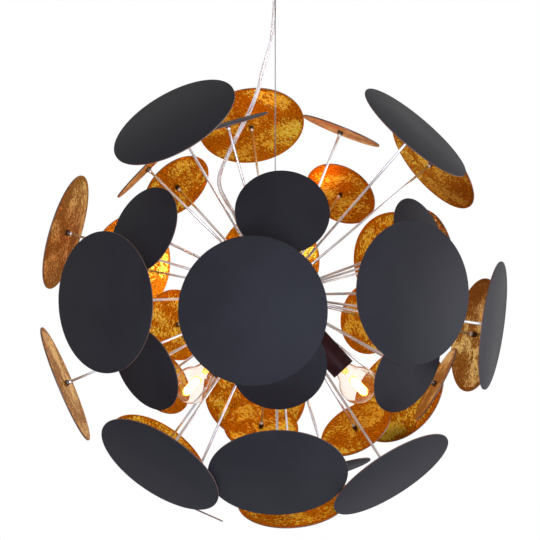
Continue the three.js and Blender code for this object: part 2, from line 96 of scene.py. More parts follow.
# Flex
# A clear round flex with two bare copper cores that show through. It leaves the swivel beside the wire,
# hangs slack, bows out to the left and goes into the gland on the hub.
FLEX_DIAMETER = 0.005
FLEX_STEPS = 6
CORE_DIAMETER = 0.0011
CORE_SPREAD = 0.0012
CORE_PITCH = 0.11
FLEX_ROUTE = [
    (0, 0.0066, 0.3885), (0, 0.0066, 0.3795), (-0.0014, 0.0042, 0.345), (-0.0022, 0.0043, 0.328),
    (-0.0046, 0.0049, 0.311), (-0.0086, 0.0066, 0.297), (-0.0121, 0.0089, 0.285), (-0.0158, 0.0112, 0.272),
    (-0.0209, 0.0138, 0.252), (-0.0297, 0.0172, 0.229), (-0.0432, 0.022, 0.203), (-0.0553, 0.026, 0.179),
    (-0.0662, 0.029, 0.156), (-0.0695, 0.030, 0.142), (-0.0678, 0.029, 0.130), (-0.0604, 0.026, 0.115),
    (-0.0498, 0.0215, 0.097), (-0.0323, 0.0151, 0.0571), (-0.0243, 0.0113, 0.0429),
]


def along(points, steps):
    """A smooth line through points, with even steps between each two of them."""
    ends = [points[0] * 2 - points[1], *points, points[-1] * 2 - points[-2]]
    line = []
    for before, start, stop, after in zip(ends, ends[1:], ends[2:], ends[3:]):
        for step in range(steps):
            t = step / steps
            line.append(
                start + (stop - before) * (t / 2)
                + (before * 2 - start * 5 + stop * 4 - after) * (t * t / 2)
                + (start * 3 - before - stop * 3 + after) * (t * t * t / 2)
            )
    line.append(points[-1])
    return line


def round_cord(name, line, diameter, material):
    """A cord of one open spline along a line."""
    curve = bpy.data.curves.new(name, "CURVE")
    curve.dimensions = "3D"
    curve.bevel_depth = diameter / 2
    curve.bevel_resolution = 5
    curve.use_fill_caps = True
    spline = curve.splines.new("POLY")
    spline.points.add(len(line) - 1)
    for point, spot in zip(spline.points, line):
        point.co = (*spot, 1)
    spline.use_smooth = True
    curve.materials.append(material)
    return add(name, curve)


def new_material(name):
    """A material with its nodes, its links and its shader to hand."""
    material = bpy.data.materials.new(name)
    material.use_nodes = True
    nodes = material.node_tree.nodes
    return material, nodes, material.node_tree.links, nodes["Principled BSDF"]


def noise(nodes, links, source, scale, detail, roughness=0.5, distortion=0.0):
    """The value of a noise texture that reads a coordinate."""
    node = nodes.new("ShaderNodeTexNoise")
    node.inputs["Scale"].default_value = scale
    node.inputs["Detail"].default_value = detail
    node.inputs["Roughness"].default_value = roughness
    node.inputs["Distortion"].default_value = distortion
    links.new(source, node.inputs["Vector"])
    return node.outputs["Fac"]


def ramp(nodes, links, source, *stops):
    """The colour of a ramp with (place, colour) stops."""
    node = nodes.new("ShaderNodeValToRGB")
    links.new(source, node.inputs["Fac"])
    while len(node.color_ramp.elements) < len(stops):
        node.color_ramp.elements.new(0.5)
    for element, (spot, colour) in zip(node.color_ramp.elements, stops):
        element.position = spot
        element.color = (*colour, 1)
    return node.outputs["Color"]


def vary(nodes, links, source, socket, low, high, start=0.3, stop=0.7):
    """Lets a socket of the shader change from one colour to another with a source."""
    links.new(ramp(nodes, links, source, (start, low), (stop, high)), socket)


def grey(value):
    """A plain grey, or a number for a socket that isn't a colour."""
    return (value, value, value)


def bump(nodes, links, height, strength, distance, shader):
    """A bump from a height on a shader."""
    node = nodes.new("ShaderNodeBump")
    node.inputs["Strength"].default_value = strength
    node.inputs["Distance"].default_value = distance
    links.new(height, node.inputs["Height"])
    links.new(node.outputs["Normal"], shader.inputs["Normal"])


def clear_vinyl():
    material, nodes, links, shader = new_material("clear_vinyl")
    where = nodes.new("ShaderNodeTexCoord").outputs["Object"]
    haze = noise(nodes, links, where, 90, 3)
    vary(nodes, links, haze, shader.inputs["Base Color"], (0.86, 0.84, 0.82), (0.95, 0.94, 0.92))
    vary(nodes, links, haze, shader.inputs["Roughness"], grey(0.14), grey(0.26))
    shader.inputs["IOR"].default_value = 1.42
    shader.inputs["Transmission Weight"].default_value = 0.8
    return material


def bare_copper():
    material, nodes, links, shader = new_material("bare_copper_strands")
    where = nodes.new("ShaderNodeTexCoord").outputs["Object"]
    strands = nodes.new("ShaderNodeTexWave")
    strands.bands_direction = "DIAGONAL"
    strands.inputs["Scale"].default_value = 420
    strands.inputs["Distortion"].default_value = 1.5
    links.new(where, strands.inputs["Vector"])
    vary(nodes, links, strands.outputs["Fac"], shader.inputs["Base Color"],
         (0.52, 0.34, 0.25), (0.84, 0.66, 0.56), 0.1, 0.8)
    shader.inputs["Metallic"].default_value = 0.9
    shader.inputs["Roughness"].default_value = 0.3
    bump(nodes, links, strands.outputs["Fac"], 0.5, 0.0002, shader)
    return material


flex_line = along([hub_middle + Vector(point) for point in FLEX_ROUTE], FLEX_STEPS)
flex = round_cord("clear_flex", flex_line, FLEX_DIAMETER, clear_vinyl())
copper = bare_copper()
for number, turn in ((1, 0), (2, math.pi)):
    core_line = []
    travelled = 0
    for here, before, after in zip(flex_line, [flex_line[0], *flex_line], [*flex_line[1:], flex_line[-1]]):
        travelled += (here - before).length
        way = (after - before).normalized()
        side = way.cross(Vector((0, 1, 0))).normalized()
        angle = turn + travelled / CORE_PITCH * 2 * math.pi
        offset = side * math.cos(angle) + way.cross(side) * math.sin(angle)
        core_line.append(here + offset * CORE_SPREAD)
    core = round_cord(f"flex_core_{number}", core_line, CORE_DIAMETER, copper)
    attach(core, "pendant")
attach(flex, "pendant")
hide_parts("flex")


# Ceiling bracket
# A pressed steel plate, zinc plated, with a turned boss that carries the swivel. Two screws go through
# its slots into the ceiling.
BRACKET_SOFTNESS = 0.0004
WELD = 0.00001


def pick(piece, *others):
    """Selects a piece with any others, and makes the piece the active one."""
    bpy.ops.object.select_all(action="DESELECT")
    for chosen in (piece, *others):
        chosen.select_set(True)
    bpy.context.view_layer.objects.active = piece


def edit(piece, kind="VERT"):
    """Opens one piece for editing, with nothing in it selected."""
    pick(piece)
    bpy.ops.object.mode_set(mode="EDIT")
    bpy.ops.mesh.select_mode(type=kind)
    bpy.ops.mesh.select_all(action="DESELECT")
    return bmesh.from_edit_mesh(piece.data)


def worked_copy(node, name, softness, material):
    """A copy of a frame node as one merged mesh with softened edges."""
    copy = frame["nodes"][node].copy()
    copy.data = copy.data.copy()
    copy.name = name
    copy.parent = None
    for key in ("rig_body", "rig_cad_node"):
        del copy[key]
    copy.data.materials.clear()
    copy.data.materials.append(material)
    bpy.context.scene.collection.objects.link(copy)
    edit(copy)
    bpy.ops.mesh.select_all(action="SELECT")
    bpy.ops.mesh.remove_doubles(threshold=2 * WELD)
    bpy.ops.mesh.dissolve_limited(angle_limit=math.radians(2))
    bpy.ops.object.mode_set(mode="OBJECT")
    soften = copy.modifiers.new("soft_edges", "BEVEL")
    soften.width = softness
    soften.segments = 2
    soften.angle_limit = math.radians(40)
    bpy.ops.object.modifier_apply(modifier=soften.name)
    bpy.ops.object.shade_smooth_by_angle(angle=math.radians(30))
    return copy


def mount(piece, body, slot, *nodes):
    """Fixes a finished piece to its body, in place of the frame's nodes."""
    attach(piece, body)
    if nodes:
        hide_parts(*nodes)


def zinc_plate():
    material, nodes, links, shader = new_material("zinc_plated_steel")
    where = nodes.new("ShaderNodeTexCoord").outputs["Object"]
    spangle = noise(nodes, links, where, 160, 5)
    vary(nodes, links, spangle, shader.inputs["Base Color"],
         (0.42, 0.43, 0.45), (0.62, 0.63, 0.65), 0.35, 0.65)
    vary(nodes, links, spangle, shader.inputs["Roughness"], grey(0.28), grey(0.45))
    shader.inputs["Metallic"].default_value = 1
    bump(nodes, links, spangle, 0.15, 0.0003, shader)
    return material


bracket = worked_copy("ceiling_bracket", "zinc_bracket", BRACKET_SOFTNESS, zinc_plate())
mount(bracket, "bracket", "brushed_steel", "ceiling_bracket")


# Terminal block
# A three-pole block moulded from white nylon. Each pole has two towers for its clamping screws and a way
# through for the wires. The block sits on the bracket, beside the boss.
BLOCK_SOFTNESS = 0.0003


def white_nylon():
    material, nodes, links, shader = new_material("white_nylon")
    where = nodes.new("ShaderNodeTexCoord").outputs["Object"]
    cloud = noise(nodes, links, where, 220, 3)
    vary(nodes, links, cloud, shader.inputs["Base Color"], (0.72, 0.70, 0.64), (0.80, 0.78, 0.73))
    shader.inputs["Roughness"].default_value = 0.5
    shader.inputs["Subsurface Weight"].default_value = 0.1
    bump(nodes, links, cloud, 0.2, 0.0002, shader)
    return material


nylon = white_nylon()
block = worked_copy("terminal_block", "nylon_terminal_block", BLOCK_SOFTNESS, nylon)
mount(block, "bracket", "nylon", "terminal_block")


# Canopy
# A spun steel cup in matt black that hides the bracket. The rolled edge of its bottom hole grips the boss,
# and it slides down for the wiring.
CANOPY_WALL = 0.0014
CANOPY_FILLET = 0.007
CANOPY_HOLE = 0.0234
CANOPY_ROLL = 0.0006
CANOPY_BREAK = 0.0003
canopy_low, canopy_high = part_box("canopy")
canopy_radius = canopy_high.x
fillet_at = (canopy_radius - CANOPY_FILLET, canopy_low.z + CANOPY_FILLET)


def arc(radius_at, height_at, radius, start, stop, steps):
    """Points of an arc in a profile, between two angles in degrees from the radius axis."""
    angles = [math.radians(start + (stop - start) * step / steps) for step in range(steps + 1)]
    return [(radius_at + radius * math.cos(a), height_at + radius * math.sin(a)) for a in angles]


def turned(name, profile, material, steps=64):
    """A piece turned round +Z from (radius, height) points, drawn from axis to axis or as a loop."""
    bpy.ops.mesh.primitive_plane_add(size=0.001)
    piece = bpy.context.object
    piece.name = name
    edit(piece)
    bpy.ops.mesh.select_all(action="SELECT")
    bpy.ops.mesh.merge(type="CENTER")
    bpy.ops.transform.translate(value=(profile[0][0], 0, profile[0][1]))
    for (radius, height), (next_radius, next_height) in zip(profile, profile[1:]):
        step = (next_radius - radius, 0, next_height - height)
        bpy.ops.mesh.extrude_region_move(TRANSFORM_OT_translate={"value": step})
    bpy.ops.mesh.select_all(action="SELECT")
    bpy.ops.mesh.spin(steps=steps, angle=2 * math.pi, center=(0, 0, 0), axis=(0, 0, 1))
    bpy.ops.mesh.select_all(action="SELECT")
    bpy.ops.mesh.remove_doubles(threshold=WELD)
    bpy.ops.mesh.normals_make_consistent(inside=False)
    bpy.ops.object.mode_set(mode="OBJECT")
    bpy.ops.object.shade_smooth_by_angle(angle=math.radians(32))
    piece.data.materials.append(material)
    return piece


def put(piece, matrix):
    """Moves a piece's mesh to its place, so that its object stays at the origin."""
    piece.data.transform(matrix)
    piece.data.update()


def matt_black_paint():
    material, nodes, links, shader = new_material("matt_black_paint")
    where = nodes.new("ShaderNodeTexCoord").outputs["Object"]
    grain = noise(nodes, links, where, 520, 3)
    cloud = noise(nodes, links, where, 22, 3)
    vary(nodes, links, cloud, shader.inputs["Base Color"],
         (0.0150, 0.0128, 0.0138), (0.0180, 0.0154, 0.0166), 0.35, 0.65)
    vary(nodes, links, cloud, shader.inputs["Roughness"], grey(0.48), grey(0.54))
    shader.inputs["Specular IOR Level"].default_value = 0.045
    bump(nodes, links, grain, 0.5, 0.0002, shader)
    return material


black_paint = matt_black_paint()
canopy = turned("matt_canopy", [
    (canopy_radius - CANOPY_WALL, canopy_high.z),
    *arc(*fillet_at, CANOPY_FILLET - CANOPY_WALL, 0, -90, 8),
    *arc(CANOPY_HOLE + CANOPY_ROLL, canopy_low.z + CANOPY_WALL / 2, CANOPY_ROLL, 110, 250, 4),
    *arc(*fillet_at, CANOPY_FILLET, -90, 0, 10),
    (canopy_radius, canopy_high.z - CANOPY_BREAK), (canopy_radius - CANOPY_BREAK, canopy_high.z),
    (canopy_radius - CANOPY_WALL, canopy_high.z),
], black_paint, 96)
mount(canopy, "canopy", "black_paint", "canopy")


# Swivel
# A turned steel ring hangs on the boss's lip and turns there. A brass ball sways in it and grips the wire
# and the flex, with a grooved collar on top that tightens the grip.
BALL_RADIUS = 0.013
BALL_FLAT = 0.008
BALL_PLAY = 0.0004
SEAT_TOP = 12.5         # degrees up from the ball's middle
SEAT_BOTTOM = -26.5
FLANGE_TOP = 0.003
FLANGE_BOTTOM = -0.001
RING_BREAK = 0.0004
RING_RADIUS = 0.0164
RING_BOTTOM = -0.006
COLLAR_RIBS = 5
COLLAR_FOOT = 0.0138
COLLAR_RADIUS = 0.0050
COLLAR_GROOVE = 0.0003
COLLAR_PITCH = 0.0014
COLLAR_TOP = 0.022
WIRE_BORE = 0.0009
FLEX_BORE = 0.0028
WIRE_BORE_DEPTH = 0.014
FLEX_BORE_DEPTH = 0.007
FLEX_OFFSET = FLEX_ROUTE[0][1]
DRILL_OVERRUN = 0.001
ring_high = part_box("swivel_ring")[1]
swivel_middle = Vector((0, 0, ring_high.z - FLANGE_TOP))
flange = ring_high.x


def turned_steel():
    material, nodes, links, shader = new_material("turned_steel")
    stretch = nodes.new("ShaderNodeMapping")
    stretch.inputs["Scale"].default_value = (1, 1, 30)
    links.new(nodes.new("ShaderNodeTexCoord").outputs["Object"], stretch.inputs["Vector"])
    lathe = noise(nodes, links, stretch.outputs["Vector"], 60, 4)
    vary(nodes, links, lathe, shader.inputs["Base Color"], (0.50, 0.50, 0.51), (0.66, 0.66, 0.67))
    vary(nodes, links, lathe, shader.inputs["Roughness"], grey(0.22), grey(0.34))
    shader.inputs["Metallic"].default_value = 1
    bump(nodes, links, lathe, 0.1, 0.0002, shader)
    return material


steel = turned_steel()
seat = arc(0, 0, BALL_RADIUS + BALL_PLAY, SEAT_TOP, SEAT_BOTTOM, 10)
ring = turned("turned_swivel_ring", [
    *seat, (RING_RADIUS - RING_BREAK, RING_BOTTOM), (RING_RADIUS, RING_BOTTOM + RING_BREAK),
    (RING_RADIUS, FLANGE_BOTTOM), (flange - RING_BREAK, FLANGE_BOTTOM),
    (flange, FLANGE_BOTTOM + RING_BREAK), (flange, FLANGE_TOP - RING_BREAK),
    (flange - RING_BREAK, FLANGE_TOP), seat[0],
], steel)
put(ring, Matrix.Translation(swivel_middle))
mount(ring, "swivel", "brushed_steel", "swivel_ring")


def drill(piece, radius, depth, offset):
    """Drills a round hole up into the swivel ball from its flat, offset along +Y from the axis."""
    length = depth + DRILL_OVERRUN
    bpy.ops.mesh.primitive_cylinder_add(vertices=32, radius=radius, depth=length)
    tool = bpy.context.object
    put(tool, Matrix.Translation((0, offset, depth - BALL_FLAT - length / 2)))
    cut = piece.modifiers.new("drill", "BOOLEAN")
    cut.operation = "DIFFERENCE"
    cut.object = tool
    bpy.context.view_layer.objects.active = piece
    bpy.ops.object.modifier_apply(modifier=cut.name)
    bpy.data.objects.remove(tool)


def turned_brass():
    material, nodes, links, shader = new_material("turned_brass")
    where = nodes.new("ShaderNodeTexCoord").outputs["Object"]
    tarnish_and_sheen = noise(nodes, links, where, 130, 4)
    vary(nodes, links, tarnish_and_sheen, shader.inputs["Base Color"], (0.55, 0.38, 0.15), (0.78, 0.58, 0.26))
    vary(nodes, links, tarnish_and_sheen, shader.inputs["Roughness"], grey(0.34), grey(0.2))
    shader.inputs["Metallic"].default_value = 1
    return material


brass = turned_brass()
ball_start = math.degrees(math.asin(-BALL_FLAT / BALL_RADIUS))
ball_stop = math.degrees(math.acos(COLLAR_RADIUS / BALL_RADIUS))
collar = []
for rib in range(COLLAR_RIBS):
    foot = COLLAR_FOOT + rib * COLLAR_PITCH
    groove = COLLAR_RADIUS - COLLAR_GROOVE
    collar += [(COLLAR_RADIUS, foot), (COLLAR_RADIUS, foot + 0.0008), (groove, foot + 0.0010),
               (groove, foot + 0.0013)]
ball = turned("brass_swivel_ball", [
    (0, -BALL_FLAT), *arc(0, 0, BALL_RADIUS, ball_start, ball_stop, 24), *collar,
    (COLLAR_RADIUS, COLLAR_TOP - 0.0008), (COLLAR_RADIUS - 0.0008, COLLAR_TOP), (0, COLLAR_TOP),
], brass)
drill(ball, WIRE_BORE, WIRE_BORE_DEPTH, 0)
drill(ball, FLEX_BORE, FLEX_BORE_DEPTH, FLEX_OFFSET)
put(ball, Matrix.Translation(swivel_middle))
mount(ball, "pendant", "brass", "swivel_ball")


# Suspension wire
# A thin stainless rope of six strands laid round a seventh. It is pulled straight by the lamp's weight,
# and a pressed-on ball at its lower end hangs in the hanger.
WIRE_RADIUS = 0.0006
STRANDS = 6
STRAND_RADIUS = 0.0002
LAY_LENGTH = 0.009
LAY_STEPS = 8
STOP_RADIUS = 0.0028
wire_low, wire_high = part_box("suspension_wire")
stop_middle = wire_low.z + STOP_RADIUS
rope_length = wire_high.z - stop_middle
rope_steps = round(rope_length / LAY_LENGTH * LAY_STEPS)


def drawn_steel(name, low, high):
    material, nodes, links, shader = new_material(name)
    where = nodes.new("ShaderNodeTexCoord").outputs["Object"]
    smear = noise(nodes, links, where, 45, 3)
    vary(nodes, links, smear, shader.inputs["Base Color"], low, high)
    vary(nodes, links, smear, shader.inputs["Roughness"], grey(0.26), grey(0.34))
    shader.inputs["Metallic"].default_value = 1
    return material


bright = drawn_steel("bright_steel", (0.60, 0.57, 0.56), (0.70, 0.67, 0.66))
dark_steel = drawn_steel("dark_wire_steel", (0.15, 0.13, 0.11), (0.21, 0.18, 0.16))
rope = bpy.data.curves.new("wire_rope", "CURVE")
rope.dimensions = "3D"
rope.bevel_depth = STRAND_RADIUS
rope.bevel_resolution = 1
rope.use_fill_caps = True
rope.materials.append(dark_steel)
for strand in range(STRANDS + 1):
    reach = WIRE_RADIUS - STRAND_RADIUS if strand < STRANDS else 0
    spline = rope.splines.new("POLY")
    spline.points.add(rope_steps)
    for step, point in enumerate(spline.points):
        angle = (strand / STRANDS + step / LAY_STEPS) * 2 * math.pi
        height = stop_middle + rope_length * step / rope_steps
        point.co = (reach * math.cos(angle), reach * math.sin(angle), height, 1)
rope_piece = add("suspension_rope", rope)
pick(rope_piece)
bpy.ops.object.convert(target="MESH")
rope_piece = bpy.context.object
stop = turned("wire_end_stop", [
    (0, -STOP_RADIUS), *arc(0, 0, STOP_RADIUS, -80, 68, 16), (0.0008, 0.0032), (0, 0.0034),
], bright, 32)
put(stop, Matrix.Translation((0, 0, stop_middle)))
pick(rope_piece, stop)
bpy.ops.object.join()
mount(rope_piece, "pendant", "polished_steel", "suspension_wire")


# Hub
# A turned steel ball that every stem and lampholder screws into. A turned hanger for the wire stands on its
# upper flat, and a turned plug closes the wiring hole in the lower one.
HUB_RADIUS = hub_high.x - hub_middle.x
HUB_FLAT = hub_high.z - hub_middle.z
PLUG_RADIUS = 0.007
PLUG_THREAD = 0.0045
PLUG_GROOVE = 0.0046
flat_angle = math.degrees(math.asin(HUB_FLAT / HUB_RADIUS))


def axis_of(node):
    """The direction from the hub's middle along a frame node that is round about it."""
    spots = {tuple(round(value, 5) for value in corner.co) for corner in frame["nodes"][node].data.vertices}
    middle = sum((Vector(spot) for spot in spots), Vector()) / len(spots)
    return (middle - hub_middle).normalized()


def from_hub(direction):
    """The matrix that stands a piece made along +Z on the hub's middle in a direction."""
    return Matrix.Translation(hub_middle) @ direction.to_track_quat("Z", "Y").to_matrix().to_4x4()


hub = turned("turned_hub", [
    (0, -HUB_FLAT), *arc(0, 0, HUB_RADIUS, -flat_angle, flat_angle, 48), (0, HUB_FLAT),
], steel, 96)
plug = turned("hub_plug_turned", [
    (0, -0.0358), (0.0020, -0.0358), (0.0022, -0.0350), (PLUG_GROOVE, -0.0350), (0.0048, -0.0358),
    (0.0060, -0.0358), (0.0068, -0.0354), (PLUG_RADIUS, -0.0347), (PLUG_RADIUS, -0.0333),
    (PLUG_THREAD, -0.0333), (PLUG_THREAD, -0.0263), (0, -0.0263),
], steel, 48)
hanger = turned("turned_hanger", [
    (0, 0.0243), (0.0040, 0.0243), (0.0040, 0.0333), (0.0086, 0.0333), (0.0090, 0.0337), (0.0090, 0.0366),
    *arc(0.0075, 0.0395, 0.0020, -90, -180, 4), (0.0055, 0.0540), *arc(0.0038, 0.0543, 0.0017, 0, 90, 5),
    (0.0009, 0.0560), (0.0009, 0.0501), (0.0031, 0.0479), (0.0031, 0.0439), (0, 0.0439),
], steel, 48)
for piece, node in ((hub, "hub_ball"), (plug, "hub_plug"), (hanger, "hub_hanger")):
    put(piece, Matrix.Translation(hub_middle))
    mount(piece, "pendant", "brushed_steel", node)


# Gland
# A tapered strain relief of white nylon that screws into the hub. Its ribs let it bend with the flex, and
# its bore takes the flex's end.
GLAND_RIBS = 7
RIB_FOOT = 0.0425
RIB_PITCH = 0.0028
RIB_RADIUS = 0.006
RIB_TAPER = 0.00033
RIB_DEPTH = 0.0009
gland_profile = [(0, 0.0303), (0.0040, 0.0303), (0.0040, 0.0363), (0.0058, 0.0363), (0.0062, 0.0367),
                 (0.0062, 0.0409), (0.0058, 0.0413)]
for rib in range(GLAND_RIBS):
    foot = RIB_FOOT + rib * RIB_PITCH
    radius = RIB_RADIUS - rib * RIB_TAPER
    gland_profile += [(radius - RIB_DEPTH, foot - 0.0009), (radius - RIB_DEPTH, foot - 0.0002),
                      (radius, foot), (radius - 0.0001, foot + 0.0012)]
gland_profile += [(0.0037, 0.0623), (FLEX_BORE, 0.0623), (FLEX_BORE, 0.0503), (0, 0.0503)]
gland = turned("ribbed_gland", gland_profile, nylon, 40)
put(gland, from_hub(axis_of("flex_gland")))
mount(gland, "pendant", "nylon", "flex_gland")


# Discs
# Cut from steel sheet, painted black outside, with a brown edge. The inside is lacquered orange brown with
# torn gold leaf laid over it. On discs that face sideways to the camera a painted sheen makes the leaf
# paler and the lacquer darker. Each screws to its stem with a dark nut and a bush.
DISC_RADII = {"large": 0.0725, "small": 0.0495}
PLATE = 0.0015
PLATE_SOFTNESS = 0.0003
BARE_RIM = 0.0012               # width of the rim that has hardly any leaf
THIN_RIM = 0.006                # and of the rim where the leaf thins out
NUT_RADIUS = 0.0035
NUT_HEIGHT = 0.0034
BUSH_RADIUS = 0.0024
BUSH_END = 0.0062
STEM_RADIUS = 0.0015
STEM_REACH = 0.2
STEM_IN_HUB = 0.0077
LOCK_NUT_RADIUS = 0.0029        # of the nut that locks the stem on the hub
LOCK_NUT_FOOT = 0.0086
LOCK_NUT_HEIGHT = 0.0022
LEAF_SCALE = 10                 # of the leaf's pattern, to a metre
LEAF_TURN = 2.4                 # radians from one disc's leaf to the next one's
LEAF_SHIFT = Vector((3.1, 1.7))
# Past SIDE_START a disc that faces sideways to the camera gets a painted sheen on its leaf, blended in over
# SIDE_BLEND.
SIDE_START = 0.72               # how far a disc faces sideways before its leaf gets duller
SIDE_BLEND = 0.2
PAINTED, GILDED, BLACKENED, POLISHED, EDGED = range(5)


def mixed(nodes, links, share, first, second):
    """A mix of two colours."""
    node = nodes.new("ShaderNodeMix")
    node.data_type = "RGBA"
    links.new(share, node.inputs["Factor"])
    links.new(first, node.inputs["A"])
    links.new(second, node.inputs["B"])
    return node.outputs["Result"]


def reckoned(nodes, links, operation, *values):
    """What a math node makes of sockets and plain numbers."""
    node = nodes.new("ShaderNodeMath")
    node.operation = operation
    for socket, value in zip(node.inputs, values):
        if isinstance(value, float):
            socket.default_value = value
        else:
            links.new(value, socket)
    return node.outputs["Value"]


def attribute(nodes, name):
    """The value of an attribute of the mesh."""
    node = nodes.new("ShaderNodeAttribute")
    node.attribute_name = name
    return node.outputs["Fac"]


def gold_leaf():
    material, nodes, links, shader = new_material("torn_gold_leaf")
    leaf = nodes.new("ShaderNodeUVMap")
    leaf.uv_map = "leaf"
    grain = nodes.new("ShaderNodeMapping")
    grain.inputs["Scale"].default_value = (1.0, 1.8, 1.0)
    links.new(leaf.outputs["UV"], grain.inputs["Vector"])
    sheets = noise(nodes, links, leaf.outputs["UV"], 2.4, 3, 0.5, 0.5)
    flakes = noise(nodes, links, grain.outputs["Vector"], 19, 3, 0.72, 0.8)
    crumple = noise(nodes, links, grain.outputs["Vector"], 26, 2, 0.6)
    rim = nodes.new("ShaderNodeMapRange")
    rim.inputs["From Min"].default_value = BARE_RIM
    rim.inputs["From Max"].default_value = THIN_RIM
    rim.inputs["To Min"].default_value = -0.2
    rim.inputs["To Max"].default_value = 0
    links.new(attribute(nodes, "from_rim"), rim.inputs["Value"])
    spread = reckoned(nodes, links, "MULTIPLY_ADD", sheets, 0.9, rim.outputs["Result"])
    cover = reckoned(nodes, links, "ADD", spread, flakes)
    gilt = ramp(nodes, links, cover, (0.985, grey(0)), (1.0, grey(1)))
    lacquer = ramp(nodes, links, crumple,
                   (0.33, (0.13, 0.03, 0.001)), (0.43, (0.43, 0.098, 0.001)), (0.64, (0.61, 0.17, 0.001)))
    gold = ramp(nodes, links, crumple,
                (0.38, (0.74, 0.31, 0.003)), (0.50, (0.82, 0.49, 0.025)), (0.64, (0.82, 0.66, 0.15)))
    brown = ramp(nodes, links, crumple,
                 (0.34, (0.057, 0.018, 0.005)), (0.44, (0.21, 0.072, 0.016)), (0.62, (0.33, 0.12, 0.033)))
    pale = ramp(nodes, links, crumple,
                (0.38, (0.51, 0.28, 0.074)), (0.50, (0.71, 0.48, 0.17)), (0.64, (0.82, 0.66, 0.33)))
    # Painted sheen on discs that face sideways to the camera: paler gold over darker lacquer.
    tarnish_and_sheen = attribute(nodes, "tarnish_and_sheen")
    under = mixed(nodes, links, tarnish_and_sheen, lacquer, brown)
    over = mixed(nodes, links, tarnish_and_sheen, gold, pale)
    links.new(mixed(nodes, links, gilt, under, over), shader.inputs["Base Color"])
    vary(nodes, links, gilt, shader.inputs["Roughness"], grey(0.44), grey(0.33), 0, 1)
    shader.inputs["Metallic"].default_value = 0.97
    shader.inputs["Specular Tint"].default_value = (1.0, 0.70, 0.42, 1)
    bump(nodes, links, crumple, 0.35, 0.0006, shader)
    return material


def brown_edge():
    material, nodes, links, shader = new_material("brown_lacquered_edge")
    where = nodes.new("ShaderNodeTexCoord").outputs["Object"]
    patch = noise(nodes, links, where, 30, 3)
    vary(nodes, links, patch, shader.inputs["Base Color"], (0.045, 0.018, 0.012), (0.10, 0.038, 0.020))
    shader.inputs["Roughness"].default_value = 0.5
    return material


def blackened_nut():
    material, nodes, links, shader = new_material("blackened_nut")
    where = nodes.new("ShaderNodeTexCoord").outputs["Object"]
    oil = noise(nodes, links, where, 300, 3)
    vary(nodes, links, oil, shader.inputs["Base Color"], (0.022, 0.014, 0.010), (0.06, 0.038, 0.026))
    shader.inputs["Metallic"].default_value = 0.8
    shader.inputs["Roughness"].default_value = 0.36
    return material


def rod(vertices, radius, top, bottom, softness):
    """A bar along Z with softened ends."""
    bpy.ops.mesh.primitive_cylinder_add(
        vertices=vertices, radius=radius, depth=top - bottom, location=(0, 0, (top + bottom) / 2))
    bpy.ops.object.transform_apply(location=True)
    bar = bpy.context.object
    mesh = edit(bar, "EDGE")
    for line in mesh.edges:
        line.select_set(abs(line.verts[0].co.z - line.verts[1].co.z) < WELD)
    bpy.ops.mesh.bevel(offset=softness, segments=2, affect="EDGES")
    bpy.ops.object.mode_set(mode="OBJECT")
    return bar


def disc_model(name, radius, finishes):
    """One disc with its nut, bush, stem and lock nut, its inner face at z = 0 and its stem below."""
    plate = rod(96, radius, PLATE, 0, PLATE_SOFTNESS)
    plate.name = name
    mesh = edit(plate, "FACE")
    inner = min((face for face in mesh.faces if len(face.verts) > 90), key=lambda face: face.normal.z)
    inner.select_set(True)
    for margin in (BARE_RIM, THIN_RIM / 2, THIN_RIM, 0.35 * radius, 0.3 * radius):
        bpy.ops.mesh.inset(thickness=margin)
    bpy.ops.mesh.poke()
    bpy.ops.object.mode_set(mode="OBJECT")
    lock_nut_foot = LOCK_NUT_FOOT - STEM_REACH
    fixings = (
        (rod(6, NUT_RADIUS, 0, -NUT_HEIGHT, 0.0003), BLACKENED),
        (rod(28, BUSH_RADIUS, -NUT_HEIGHT, -BUSH_END, 0.0005), POLISHED),
        (rod(16, STEM_RADIUS, -BUSH_END + 0.0002, -STEM_REACH, 0.0002), POLISHED),
        (rod(6, LOCK_NUT_RADIUS, lock_nut_foot + LOCK_NUT_HEIGHT, lock_nut_foot, 0.0003), POLISHED),
    )
    pieces = [plate, *(fixing for fixing, finish in fixings)]
    for piece in pieces:
        for material in finishes:
            piece.data.materials.append(material)
    for face in plate.data.polygons:
        outside = PAINTED if face.normal.z > 0.1 else EDGED
        face.material_index = GILDED if face.normal.z < -0.9 else outside
    for fixing, finish in fixings:
        for face in fixing.data.polygons:
            face.material_index = finish
    pick(*pieces)
    bpy.ops.object.join()
    bpy.ops.object.shade_smooth_by_angle(angle=math.radians(28))
    rim = plate.data.attributes.new("from_rim", "FLOAT", "POINT")
    for corner, value in zip(plate.data.vertices, rim.data):
        value.value = radius - corner.co.xy.length
    return plate


